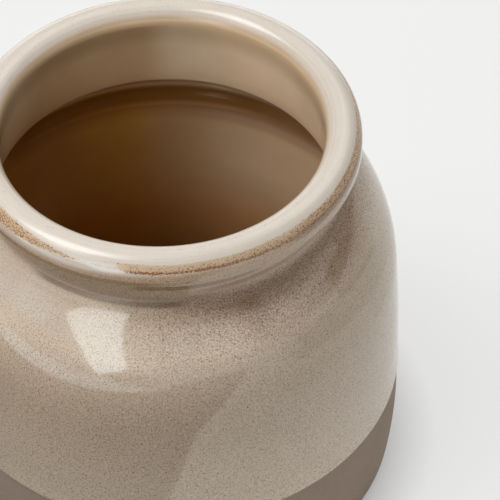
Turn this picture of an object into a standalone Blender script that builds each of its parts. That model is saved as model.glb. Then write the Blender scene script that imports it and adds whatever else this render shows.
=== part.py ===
"""Open stoneware storage jar: a thrown clay body with a rolled rim, and its fired glaze coats.

The jar is a turned form. One outline describes the clay before glazing, from the foot up the
outside, over the rim and down the inside to the floor, as curves that run into each other.
Where a coat of glaze lies, the clay is set back under the outline and the coat stands a little
proud of it. The clay and its coats are all spun from that outline.
Lengths are in metres, +Z is up, and the jar stands on z = 0 with its axis on Z.
"""
import math

import bmesh
import bpy

# Outside form
HEIGHT = 0.1246
BODY_RADIUS = 0.065
BELLY_HEIGHT = 0.028
LOWER_WALL_CURVE = 0.147
UPPER_WALL_CURVE = 0.967
SHOULDER_CURVE = 0.0534

# Foot
FOOT_EDGE_ROUND = 0.006
FOOT_RING_WIDTH = 0.007
FOOT_RECESS_DEPTH = 0.0018
FOOT_RECESS_ROUND = 0.0015

# Mouth, rolled rim and neck
MOUTH_RADIUS = 0.0441
RIM_WIDTH = 0.0097
RIM_CREST_INSET = 0.0046
RIM_CROWN_HEIGHT = 0.0053
RIM_FACE_HEIGHT = 0.0020
RIM_EDGE_ROUND = 0.0008
UNDERSIDE_SLOPE = math.radians(12.0)
UNDERSIDE_FILLET = 0.0016
NECK_WALL = 0.0052
NECK_LENGTH = 0.0066
NECK_FILLET = 0.0034

# Inside form
WALL = 0.0058
FLOOR = 0.0075
FLOOR_ROUND = 0.010
INNER_SHOULDER_CURVE = 0.027
THROAT_DEPTH = 0.0263
THROAT_FLARE = 0.0026
THROAT_ROUND = 0.003

# Glaze coats
GLAZE = 0.0005
GLAZE_PROUD = 0.0002
GLAZE_EDGE_ROUND = 0.00015
GLAZE_LINE_HEIGHT = 0.035
OUTER_BREAK_LOW = math.radians(25.5)
OUTER_BREAK_HIGH = math.radians(47.5)
INNER_BREAK_HIGH = math.radians(143.0)
INNER_BREAK_LOW = math.radians(152.0)
FIT_GAP = 0.0003

# Facets round the axis
TURN_STEPS = 52


def arc(centre, radius, first, last, steps):
    """Points along an arc, each with the direction that faces out of the clay there.

    The angles are those of that direction, measured up from the outward radial one. A negative
    radius makes a hollow arc, whose centre lies in the air.
    """
    span = []
    for step in range(steps + 1):
        angle = first + (last - first) * step / steps
        facing = (math.cos(angle), math.sin(angle))
        span.append(((centre[0] + radius * facing[0], centre[1] + radius * facing[1]), facing))
    return span


def crown_arc(first, last, steps):
    """Points over the rim's crown, a half oval with its own half width on each side of the crest."""
    span = []
    for step in range(steps + 1):
        angle = first + (last - first) * step / steps
        half_width = CROWN_OUTER if angle < math.pi / 2 else RIM_CREST_INSET
        across, up = math.cos(angle), math.sin(angle)
        point = (CROWN_CENTRE[0] + half_width * across, CROWN_CENTRE[1] + RIM_CROWN_HEIGHT * up)
        facing = (across / half_width, up / RIM_CROWN_HEIGHT)
        length = math.hypot(facing[0], facing[1])
        span.append((point, (facing[0] / length, facing[1] / length)))
    return span


def sunk(span, depth):
    """The same stretch of outline at a depth under it, which is negative where it stands proud."""
    return [(r - depth * out_r, z - depth * out_z) for (r, z), (out_r, out_z) in span]


def circles_meet(first, first_radius, second, second_radius):
    """The meeting point of two circles that lies farther out from the jar's axis."""
    apart_r, apart_z = second[0] - first[0], second[1] - first[1]
    apart = math.hypot(apart_r, apart_z)
    along = (first_radius ** 2 - second_radius ** 2 + apart ** 2) / (2.0 * apart)
    aside = math.sqrt(first_radius ** 2 - along ** 2)
    unit_r, unit_z = apart_r / apart, apart_z / apart
    return (
        first[0] + along * unit_r + aside * unit_z,
        first[1] + along * unit_z - aside * unit_r,
    )


# The lower wall leans in below the belly and runs into the foot's rounded edge.
LOWER_WALL_CENTRE = (BODY_RADIUS - LOWER_WALL_CURVE, BELLY_HEIGHT)
FOOT_LEAN = math.asin((BELLY_HEIGHT - FOOT_EDGE_ROUND) / (LOWER_WALL_CURVE - FOOT_EDGE_ROUND))
FOOT_CENTRE = (
    LOWER_WALL_CENTRE[0] + (LOWER_WALL_CURVE - FOOT_EDGE_ROUND) * math.cos(FOOT_LEAN),
    FOOT_EDGE_ROUND,
)

# The crown of the rim is half an oval that stands on the rim's upright face.
NECK_RADIUS = MOUTH_RADIUS + NECK_WALL
RIM_RADIUS = MOUTH_RADIUS + RIM_WIDTH
CROWN_OUTER = RIM_WIDTH - RIM_CREST_INSET
CROWN_CENTRE = (MOUTH_RADIUS + RIM_CREST_INSET, HEIGHT - RIM_CROWN_HEIGHT)

# The rim is undercut: its underside rises outwards from the neck to a small rounded edge.
UNDERSIDE_ANGLE = UNDERSIDE_SLOPE - math.pi / 2
RIM_EDGE_CENTRE = (RIM_RADIUS - RIM_EDGE_ROUND, CROWN_CENTRE[1] - RIM_FACE_HEIGHT)
UNDERSIDE_REACH = NECK_RADIUS + UNDERSIDE_FILLET - RIM_EDGE_CENTRE[0]
UNDERSIDE_CENTRE = (
    NECK_RADIUS + UNDERSIDE_FILLET,
    RIM_EDGE_CENTRE[1]
    + (UNDERSIDE_REACH * math.sin(UNDERSIDE_SLOPE) - UNDERSIDE_FILLET - RIM_EDGE_ROUND)
    / math.cos(UNDERSIDE_SLOPE),
)

# The upper wall draws in a little, the shoulder rounds over, and a fillet meets the neck.
NECK_CENTRE = (NECK_RADIUS + NECK_FILLET, UNDERSIDE_CENTRE[1] - NECK_LENGTH)
UPPER_WALL_CENTRE = (BODY_RADIUS - UPPER_WALL_CURVE, BELLY_HEIGHT)
SHOULDER_CENTRE = circles_meet(
    UPPER_WALL_CENTRE, UPPER_WALL_CURVE - SHOULDER_CURVE,
    NECK_CENTRE, SHOULDER_CURVE + NECK_FILLET,
)
SHOULDER_START = math.atan2(
    SHOULDER_CENTRE[1] - UPPER_WALL_CENTRE[1], SHOULDER_CENTRE[0] - UPPER_WALL_CENTRE[0]
)
SHOULDER_END = math.atan2(
    NECK_CENTRE[1] - SHOULDER_CENTRE[1], NECK_CENTRE[0] - SHOULDER_CENTRE[0]
)
SHOULDER_HEIGHT = SHOULDER_CENTRE[1] + SHOULDER_CURVE * math.sin(SHOULDER_START)

# Inside, the neck opens downwards in a long curve from the lip to the rounded throat.
THROAT_CENTRE = (MOUTH_RADIUS + THROAT_FLARE + THROAT_ROUND, HEIGHT - THROAT_DEPTH)
THROAT_REACH = THROAT_CENTRE[0] - MOUTH_RADIUS
THROAT_DROP = CROWN_CENTRE[1] - THROAT_CENTRE[1]
NECK_INNER_CURVE = (THROAT_REACH ** 2 + THROAT_DROP ** 2 - THROAT_ROUND ** 2) / (
    2.0 * THROAT_FLARE
)
NECK_INNER_CENTRE = (MOUTH_RADIUS + NECK_INNER_CURVE, CROWN_CENTRE[1])
NECK_INNER_TURN = math.atan2(THROAT_DROP, NECK_INNER_CENTRE[0] - THROAT_CENTRE[0])

# Below the throat the inner shoulder sweeps out to the upright inner wall.
INNER_RADIUS = BODY_RADIUS - WALL
INNER_SHOULDER_REACH = THROAT_CENTRE[0] - INNER_RADIUS + INNER_SHOULDER_CURVE
INNER_SHOULDER_RISE = math.sqrt(
    (INNER_SHOULDER_CURVE + THROAT_ROUND) ** 2 - INNER_SHOULDER_REACH ** 2
)
INNER_SHOULDER_CENTRE = (
    INNER_RADIUS - INNER_SHOULDER_CURVE,
    THROAT_CENTRE[1] - INNER_SHOULDER_RISE,
)
THROAT_TURN = math.atan2(INNER_SHOULDER_RISE, INNER_SHOULDER_REACH)
FLOOR_CENTRE = (INNER_RADIUS - FLOOR_ROUND, FLOOR + FLOOR_ROUND)

# Each coat stops short of the clay that shows beside it.
GLAZE_BED = GLAZE - GLAZE_PROUD + FIT_GAP
EDGE_GAP = FIT_GAP + GLAZE_EDGE_ROUND
OUTER_BREAK_GAP = EDGE_GAP / min(CROWN_OUTER, RIM_CROWN_HEIGHT)
INNER_BREAK_GAP = EDGE_GAP / min(RIM_CREST_INSET, RIM_CROWN_HEIGHT)


def wall_span(low, high, steps):
    """The outer wall between two heights, whichever of its two long arcs they lie on."""
    span = []
    for step in range(steps + 1):
        height = low + (high - low) * step / steps
        if height < BELLY_HEIGHT:
            centre, curve = LOWER_WALL_CENTRE, LOWER_WALL_CURVE
        else:
            centre, curve = UPPER_WALL_CENTRE, UPPER_WALL_CURVE
        angle = math.asin((height - centre[1]) / curve)
        facing = (math.cos(angle), math.sin(angle))
        point = (centre[0] + curve * facing[0], height)
        span.append((point, facing))
    return span


def bare_foot():
    """The unglazed foot and the foot of the wall, up to the glaze line."""
    foot_top = FOOT_CENTRE[1] - FOOT_EDGE_ROUND * math.sin(FOOT_LEAN)
    return (
        arc(FOOT_CENTRE, FOOT_EDGE_ROUND, -math.pi / 2, -FOOT_LEAN, 4)
        + wall_span(foot_top, GLAZE_LINE_HEIGHT, 3)[1:]
    )


def glazed_outside(start, end):
    """The outside from a height on the wall up to an angle on the rim's crown."""
    return (
        wall_span(start, SHOULDER_HEIGHT, 2)
        + arc(SHOULDER_CENTRE, SHOULDER_CURVE, SHOULDER_START, SHOULDER_END, 5)[1:]
        + arc(NECK_CENTRE, -NECK_FILLET, SHOULDER_END, 0.0, 2)[1:]
        + arc(UNDERSIDE_CENTRE, -UNDERSIDE_FILLET, 0.0, UNDERSIDE_ANGLE, 2)
        + arc(RIM_EDGE_CENTRE, RIM_EDGE_ROUND, UNDERSIDE_ANGLE, 0.0, 2)
        + crown_arc(0.0, end, 1)
    )


def glazed_top(first, last):
    """The crown of the rim between the two breaks in the glaze."""
    return crown_arc(first, last, 5)


def glazed_inside(first):
    """The inside from an angle on the lip down to the edge of the flat floor."""
    return (
        crown_arc(first, math.pi, 2)[:-1]
        + arc(NECK_INNER_CENTRE, NECK_INNER_CURVE, math.pi, math.pi + NECK_INNER_TURN, 3)
        + arc(THROAT_CENTRE, THROAT_ROUND, math.pi + NECK_INNER_TURN, math.pi + THROAT_TURN, 2)[1:]
        + arc(
            INNER_SHOULDER_CENTRE, -INNER_SHOULDER_CURVE,
            math.pi + THROAT_TURN, math.pi, 4,
        )[1:]
        + arc(FLOOR_CENTRE, -FLOOR_ROUND, math.pi, math.pi / 2, 3)
    )


def foot_underside():
    """The shallow recess inside the foot ring, from the axis out to the flat of the ring."""
    ring_inside = FOOT_CENTRE[0] - FOOT_RING_WIDTH
    return [
        (0.0, FOOT_RECESS_DEPTH),
        (ring_inside - FOOT_RECESS_ROUND - FOOT_RECESS_DEPTH, FOOT_RECESS_DEPTH),
        (ring_inside - FOOT_RECESS_DEPTH / 2, FOOT_RECESS_DEPTH / 2),
        (ring_inside, 0.0),
    ]


def clay_outline():
    """The clay from the axis under the foot, round the outside, and down to the inner floor."""
    return (
        foot_underside()
        + sunk(bare_foot(), 0.0)
        + sunk(glazed_outside(GLAZE_LINE_HEIGHT, OUTER_BREAK_LOW), GLAZE_BED)
        + sunk(crown_arc(OUTER_BREAK_LOW, OUTER_BREAK_HIGH, 2), 0.0)
        + sunk(glazed_top(OUTER_BREAK_HIGH, INNER_BREAK_HIGH), GLAZE_BED)
        + sunk(crown_arc(INNER_BREAK_HIGH, INNER_BREAK_LOW, 1), 0.0)
        + sunk(glazed_inside(INNER_BREAK_LOW), GLAZE_BED)
        + [(0.0, FLOOR - GLAZE_BED)]
    )


def eased_edge(back, face, end, inward):
    """A point just past the middle of a coat's end, which rounds its edge."""
    out = end[1]
    along = (end[0][0] - inward[0][0], end[0][1] - inward[0][1])
    level = along[0] * out[0] + along[1] * out[1]
    along = (along[0] - level * out[0], along[1] - level * out[1])
    reach = GLAZE_EDGE_ROUND / math.hypot(along[0], along[1])
    return (
        (back[0] + face[0]) / 2 + reach * along[0],
        (back[1] + face[1]) / 2 + reach * along[1],
    )


def coat_outline(span, to_axis):
    """A coat over a stretch of outline: its back on the clay, an eased edge, and its face."""
    face = sunk(span, -GLAZE_PROUD)
    back = sunk(span, GLAZE - GLAZE_PROUD)
    start = eased_edge(back[0], face[0], span[0], span[1])
    if to_axis:
        return [(0.0, back[-1][1])] + back[::-1] + [start] + face + [(0.0, face[-1][1])]
    end = eased_edge(back[-1], face[-1], span[-1], span[-2])
    return back[::-1] + [start] + face + [end]


def finish(name, colour, roughness):
    """A material for one kind of surface."""
    material = bpy.data.materials.new(name)
    material.use_nodes = True
    shader = material.node_tree.nodes["Principled BSDF"]
    shader.inputs["Base Color"].default_value = (*colour, 1.0)
    shader.inputs["Roughness"].default_value = roughness
    shader.inputs["Metallic"].default_value = 0.0
    return material


def spun(name, outline, closed, material):
    """An object spun once round the jar's axis from an outline in the plane of X and Z."""
    work = bmesh.new()
    verts = [work.verts.new((r, 0.0, z)) for r, z in outline]
    edges = [work.edges.new(pair) for pair in zip(verts, verts[1:])]
    if closed:
        edges.append(work.edges.new((verts[-1], verts[0])))
    bmesh.ops.spin(
        work, geom=verts + edges, cent=(0.0, 0.0, 0.0), axis=(0.0, 0.0, 1.0),
        angle=2.0 * math.pi, steps=TURN_STEPS, use_merge=True,
    )
    bmesh.ops.remove_doubles(work, verts=work.verts, dist=1e-6)
    bmesh.ops.recalc_face_normals(work, faces=work.faces)
    mesh = bpy.data.meshes.new(name)
    work.to_mesh(mesh)
    work.free()
    mesh.materials.append(material)
    mesh.shade_smooth()
    mesh.set_sharp_from_angle(angle=math.radians(35.0))
    piece = bpy.data.objects.new(name, mesh)
    bpy.context.scene.collection.objects.link(piece)
    return piece


def main():
    for leftover in list(bpy.data.objects):
        bpy.data.objects.remove(leftover, do_unlink=True)

    jar = bpy.data.objects.new("storage_jar", None)
    bpy.context.scene.collection.objects.link(jar)

    outer_span = glazed_outside(GLAZE_LINE_HEIGHT + EDGE_GAP, OUTER_BREAK_LOW - OUTER_BREAK_GAP)
    top_span = glazed_top(OUTER_BREAK_HIGH + OUTER_BREAK_GAP, INNER_BREAK_HIGH - INNER_BREAK_GAP)
    inner_span = glazed_inside(INNER_BREAK_LOW + INNER_BREAK_GAP)
    pieces = [
        spun("stoneware_body", clay_outline(), False,
             finish("fired_stoneware", (0.194, 0.144, 0.108), 0.85)),
        spun("outer_glaze", coat_outline(outer_span, False), True,
             finish("speckled_beige_glaze", (0.381, 0.317, 0.258), 0.3)),
        spun("rim_glaze", coat_outline(top_span, False), True,
             finish("cream_glaze", (0.687, 0.617, 0.539), 0.35)),
        spun("liner_glaze", coat_outline(inner_span, True), False,
             finish("brown_liner_glaze", (0.181, 0.110, 0.060), 0.18)),
    ]
    for piece in pieces:
        piece.parent = jar


main()
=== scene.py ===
"""Stoneware storage jar: the fine surfaces of its clay body and glaze coats, and the studio.

Laid out as a Blender add-on and run as a script. Lengths are in metres and +Z is up. Each piece
starts as an outline in the plane of X and Z, then spun round the jar's axis.
"""

import math
from functools import partial
from types import SimpleNamespace

import bmesh
import bpy
from bpy.props import FloatProperty, FloatVectorProperty, IntProperty, PointerProperty
from mathutils import Matrix, Vector, noise


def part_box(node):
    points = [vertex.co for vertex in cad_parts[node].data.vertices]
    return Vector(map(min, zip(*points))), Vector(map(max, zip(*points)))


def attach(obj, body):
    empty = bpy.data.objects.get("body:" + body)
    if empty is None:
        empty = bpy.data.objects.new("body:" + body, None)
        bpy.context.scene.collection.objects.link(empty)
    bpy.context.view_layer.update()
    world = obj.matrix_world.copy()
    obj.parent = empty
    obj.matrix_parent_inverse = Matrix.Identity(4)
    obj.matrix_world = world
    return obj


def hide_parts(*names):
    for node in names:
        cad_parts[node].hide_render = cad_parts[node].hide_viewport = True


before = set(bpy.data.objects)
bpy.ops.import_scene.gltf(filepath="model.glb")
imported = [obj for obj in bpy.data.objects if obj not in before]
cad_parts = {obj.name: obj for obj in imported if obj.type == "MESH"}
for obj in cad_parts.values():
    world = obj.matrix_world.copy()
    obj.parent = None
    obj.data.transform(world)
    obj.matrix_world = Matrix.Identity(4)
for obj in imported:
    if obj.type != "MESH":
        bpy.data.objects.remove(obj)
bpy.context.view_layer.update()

bl_info = {
    "name": "Stoneware storage jar",
    "version": (1, 0, 0),
    "blender": (4, 5, 0),
    "location": "3D View > Sidebar > Jar",
    "description": "Builds a glazed stoneware jar with a rolled rim, and the studio round it",
    "category": "Add Mesh",
}

MM = 0.001

# Outline of the jar, as the CAD model has it
LOWER_WALL_CURVE = 147.0 * MM
UPPER_WALL_CURVE = 967.0 * MM
SHOULDER_CURVE = 53.4 * MM
FOOT_EDGE_ROUND = 6.0 * MM
FOOT_RING_WIDTH = 7.0 * MM
FOOT_RECESS_DEPTH = 1.8 * MM
FOOT_RECESS_ROUND = 1.5 * MM
RIM_CREST_INSET = 4.6 * MM
RIM_CROWN_HEIGHT = 5.3 * MM
RIM_FACE_HEIGHT = 2.0 * MM
RIM_EDGE_ROUND = 0.8 * MM
UNDERSIDE_SLOPE = math.radians(12.0)
UNDERSIDE_FILLET = 1.6 * MM
NECK_WALL = 5.2 * MM
NECK_LENGTH = 6.6 * MM
NECK_FILLET = 3.4 * MM
FLOOR_ROUND = 10.0 * MM
INNER_SHOULDER_CURVE = 27.0 * MM
THROAT_DEPTH = 26.3 * MM
THROAT_FLARE = 2.6 * MM
THROAT_ROUND = 3.0 * MM
GLAZE_BACK = 0.3 * MM
CLAY_BED = 0.6 * MM
ROLL_FADE = 4.0 * MM
OUTER_BREAK_LOW = math.radians(25.5)
OUTER_BREAK_HIGH = math.radians(47.5)
INNER_BREAK_HIGH = math.radians(143.0)
INNER_BREAK_LOW = math.radians(152.0)
# Glaze over the crest of the rim in the CAD model, which the jar's height leaves out
CREST_COAT = 0.19 * MM

# Fineness of the outlines: a facet's length and turn on a surface that shows, and on a hidden one
SHOWN = (1.1 * MM, math.radians(6.0))
HIDDEN = (6.0 * MM, math.radians(20.0))
WELD = 1e-6
# Nearer the jar's axis than this, the thrown form is true.
AXIS = 1.0 * MM
CREASE_ANGLE = math.radians(38.0)

# Waves in which the thrown wall wanders: length, share of the unevenness, and how much flatter
# they are than long
WANDER = ((38.0 * MM, 1.0), (15.0 * MM, 0.45))
WANDER_FLATTER = 1.6
# Ridges that the potter's fingers left inside the wall: height, depth and width, in millimetres
THROWING_RINGS = ((79.0, 0.10, 0.9), (76.0, 0.16, 1.1), (66.0, 0.07, 2.5), (52.0, 0.07, 3.0))
RINGS_LOW, RINGS_HIGH = 12.0 * MM, 95.0 * MM

# Roughness and refraction of each finish, and the roughness in the crease under the neck
SPONGED_CLAY = (0.82, 1.5)
RIM_GLOSS = (0.24, 1.56)
OUTER_GLOSS = (0.085, 1.62)
LINER_GLOSS = (0.10, 1.56)
CREASE_ROUGHNESS = 0.40
# Strength and depth of the relief on glaze and on clay
ORANGE_PEEL = (0.35, 0.05 * MM)
GROG_GRAIN = (0.5, 0.08 * MM)

# The ochre break along the rim's outer edge, in degrees round the crown: its middle at the front
# and at the right, and half its width
BREAK_MIDDLE = (33.0, 28.0)
BREAK_HALF = 20.0
# In degrees round the jar: where the break starts at the front, and where its tail at the left
# is thinnest and widest
BREAK_START = (-102.6, -100.2)
BREAK_TAIL = (-113.0, -140.0)
RING_TINT = (0.97, 0.94, 0.93, 1.0)
# How the rim's cream turns to tan over its inner edge: position, level and cover
LIP = ((0.25, 1.1, 0.0), (0.50, 1.05, 0.6), (0.66, 0.93, 0.85), (0.90, 0.78, 1.0))

# Where iron gathers in the outer glaze and where it ends, over the glaze line; its denser,
# darker specks under the neck are partly painted shade
IRON_AND_SHADE_RISES = (55.0 * MM, 69.0 * MM)
IRON_AND_SHADE_ENDS = (71.0 * MM, 74.0 * MM)

# How the outer glaze's colour changes with height over the glaze line, in millimetres; the
# darker, browner tone at the neck is painted shade under the rim
GLAZE_SPAN = 80.0
GLAZE_DEPTH_AND_SHADE = (
    (0.0, 0.99, 0.99, 1.0), (4.0, 1.0, 1.0, 1.0), (8.0, 0.96, 0.96, 0.96),
    (16.0, 0.94, 0.935, 0.93), (30.0, 0.85, 0.825, 0.805), (44.0, 0.82, 0.79, 0.765),
    (50.0, 0.89, 0.865, 0.85), (58.0, 0.98, 0.97, 0.97), (64.0, 0.87, 0.86, 0.86),
    (72.0, 0.84, 0.775, 0.71),
)

# Patches of the outer coat, most of them painted light and shade: from and to, with the fade
# beyond, first from side to side of the jar (-1 at its left, 1 at its right), then in height, in
# millimetres; and the tint there
COAT_TINTS_AND_PAINTED_LIGHT = (
    # Painted sheen and painted light: the shoulder lighter at the left, the front and the right
    ((-1.2, -0.62, 0.20), (98.0, 105.6, 3.0), (1.03, 1.08, 1.16)),
    ((-0.3, 0.3, 0.25), (92.0, 104.0, 4.0), (1.13, 1.15, 1.17)),
    ((0.3, 0.62, 0.2), (93.5, 99.0, 3.0), (1.13, 1.12, 1.13)),
    # Darker and browner on the shoulder at the right: iron and painted shade by the neck, painted
    # shade lower down
    ((0.45, 0.6, 0.25), (102.6, 104.2, 1.6), (0.85, 0.78, 0.72)),
    ((0.62, 0.93, 0.12), (86.0, 92.0, 3.0), (0.86, 0.83, 0.80)),
    ((0.82, 0.93, 0.06), (93.0, 101.0, 2.0), (0.86, 0.81, 0.74)),
    # Painted shade in the crease at the neck's foot, on the neck and under the rim's edge
    ((-0.6, 0.05, 0.12), (105.8, 106.3, 0.7), (0.55, 0.48, 0.41)),
    ((-1.2, 0.2, 0.20), (106.5, 108.2, 0.5), (0.86, 0.82, 0.78)),
    ((0.35, 0.8, 0.30), (108.8, 109.8, 0.5), (0.68, 0.55, 0.46)),
    ((-0.1, 0.45, 0.1), (111.0, 113.0, 0.4), (0.70, 0.62, 0.54)),
    ((-1.2, -0.1, 0.2), (114.0, 117.9, 0.8), (0.72, 0.64, 0.54)),
    # Painted light on the rim's face at the left and front; the face darker and browner at the
    # right
    ((-1.2, 0.5, 0.3), (118.7, 121.0, 0.6), (1.10, 1.04, 1.00)),
    ((0.75, 1.2, 0.2), (119.6, 121.5, 0.6), (0.75, 0.62, 0.52)),
)

# Patches of the liner glaze, in the same way, most of them painted light and shade
LINER_TINTS_AND_PAINTED_LIGHT = (
    # Painted shade on the left of the inside, and painted light on its right
    ((-1.2, -0.25, 0.3), (15.0, 84.0, 6.0), (1.00, 0.84, 0.36)),
    ((0.4, 1.2, 0.45), (17.0, 68.0, 8.0), (1.38, 1.56, 2.20)),
    ((0.35, 1.2, 0.4), (74.0, 84.0, 3.0), (1.20, 1.32, 1.80)),
    # A painted highlight on a throwing ridge, where the glaze also runs thin, then painted shade
    # under the inner shoulder
    ((-0.6, 0.3, 0.2), (76.2, 77.0, 0.6), (1.20, 1.26, 1.35)),
    ((-0.35, 0.4, 0.25), (79.0, 85.5, 2.0), (0.84, 0.76, 0.48)),
    # Painted shade on the neck's left and painted light on its right, and the lip darker
    ((-0.75, -0.15, 0.25), (92.0, 130.0, 4.0), (0.76, 0.67, 0.56)),
    ((0.55, 1.2, 0.4), (92.0, 130.0, 4.0), (1.14, 1.10, 1.06)),
    ((-1.2, 1.2, 0.1), (118.0, 130.0, 6.0), (0.74, 0.70, 0.66)),
)

# How the liner glaze's tone changes with height over the foot, in millimetres; the dark band
# under the inner shoulder is pooled glaze and painted shade
LINER_DEPTH_AND_SHADE = (
    (15.0, "pooled", 0.9), (32.0, "pooled", 1.2), (48.0, "liner", 0.95), (70.0, "liner", 0.96),
    (77.0, "pooled", 0.86), (84.5, "pooled", 0.86), (87.5, "neck", 0.95), (95.0, "neck", 0.98),
    (102.0, "neck", 1.06), (108.0, "neck", 0.99), (114.0, "neck", 0.87),
)

# Settings that nodes share: a Map Range that eases in and out, a Mix of colours, one that tints
EASED = {"interpolation_type": "SMOOTHSTEP"}
COLOURS = {"data_type": "RGBA"}
TINTED = {"data_type": "RGBA", "blend_type": "MULTIPLY"}


def linear(code):
    """An sRGB hex colour as the linear values that Blender's sockets take."""
    parts = [int(code[i:i + 2], 16) / 255.0 for i in (1, 3, 5)]
    return tuple(c / 12.92 if c <= 0.04045 else ((c + 0.055) / 1.055) ** 2.4 for c in parts)


def length_property(name, description, default):
    """A length that the sidebar shows in the scene's units."""
    return FloatProperty(
        name=name, description=description, default=default, min=0.0,
        unit="LENGTH", subtype="DISTANCE", precision=4,
    )


def colour_property(name, description, code):
    """A colour that the sidebar shows, given as sRGB hex."""
    return FloatVectorProperty(
        name=name, description=description, default=linear(code),
        size=3, min=0.0, max=1.0, subtype="COLOR",
    )


def level_property(name, description, default):
    """The radiance of a light, where 1 is a white surface in full light."""
    return FloatProperty(name=name, description=description, default=default, min=0.0)


class JarSizes(bpy.types.PropertyGroup):
    """Main sizes of the jar, which follow the CAD model's own."""

    height: length_property(
        "Height", "From the foot to the crest of the clay rim",
        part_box("rim_glaze")[1].z - CREST_COAT)
    body_radius: length_property("Body radius", "Of the clay at the belly", 65.0 * MM)
    belly_height: length_property("Belly height", "Of the widest place above the foot", 28.0 * MM)
    mouth_radius: length_property("Mouth radius", "Of the clay at the lip", 44.1 * MM)
    rim_width: length_property("Rim width", "Of the rolled rim, from lip to outer face", 9.7 * MM)
    wall: length_property("Wall", "Thickness of the clay wall at the belly", 5.8 * MM)
    floor: length_property("Floor", "Thickness of the clay floor", 7.5 * MM)
    glaze_line: length_property(
        "Glaze line", "Height at which the outer glaze stops above the bare foot", 35.0 * MM)
    glaze_proud: length_property(
        "Glaze stands proud", "How far a coat of glaze stands proud of the clay", 0.2 * MM)
    glaze_roll: length_property(
        "Glaze roll", "Radius of the rolled edge of the outer glaze", 0.34 * MM)
    unevenness: length_property(
        "Unevenness", "How far the thrown wall wanders from a true circle", 0.09 * MM)
    turn_steps: IntProperty(
        name="Turn steps", description="Facets round the jar's axis", default=192, min=24)


class JarColours(bpy.types.PropertyGroup):
    """Colours of the clay and the glazes."""

    clay: colour_property("Bare clay", "Fired stoneware on the foot", "#AC9786")
    beige: colour_property("Beige glaze", "Ground of the outer glaze", "#DCCBB4")
    speck: colour_property("Iron speck", "Specks that melt through the glaze", "#8C5227")
    cream: colour_property("Cream glaze", "Thicker glaze on the crown of the rim", "#DED4C7")
    ochre: colour_property("Ochre break", "Thin glaze over the rim's outer edge", "#D8BA94")
    rust: colour_property("Rust line", "Iron along the lower edge of the break", "#945C22")
    neck: colour_property("Inner neck", "Liner glaze where it runs thin, below the lip", "#E6D0B2")
    liner: colour_property("Liner glaze", "Glossy glaze on the wall inside", "#B69467")
    pooled: colour_property("Pooled liner", "Where the liner glaze gathered, thick", "#9A7140")


class StudioSettings(bpy.types.PropertyGroup):
    """Radiance of each light of the plain studio, where a white wall in full light is 1."""

    key: level_property("Key", "Softbox at the upper left", 7.6)
    side: level_property("Side", "Softbox at the left, lower down", 1.2)
    overhead: level_property("Overhead", "Softbox over the jar", 3.4)
    right: level_property("Right", "Low reflector at the right", 0.6)
    inner: level_property("Inner", "Softbox aimed into the mouth, for the liner only", 6.0)
    back: level_property("Back", "Pale wall behind the jar", 2.2)
    upper_back: level_property("Upper back", "Bounced light from above and behind", 1.4)
    front: level_property("Front", "Low reflector in front", 0.5)
    window: level_property("Window", "Bright patch of the scrim, as the glaze mirrors it", 4.2)
    scrim_hem: level_property("Scrim hem", "Brighter strip at the foot of the scrim", 1.5)
    scrim: level_property("Scrim", "Diffusing screen at the left", 0.5)
    room: level_property("Room", "Pale room round the studio", 0.05)
    glow: level_property("Floor glow", "Share of the floor's brightness that is its own", 0.7)
    paper: colour_property("Paper", "Colour of the floor", "#F5F5F4")
    card: colour_property("Dark card", "Card on the floor at the left", "#3A3938")


# Outline


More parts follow.
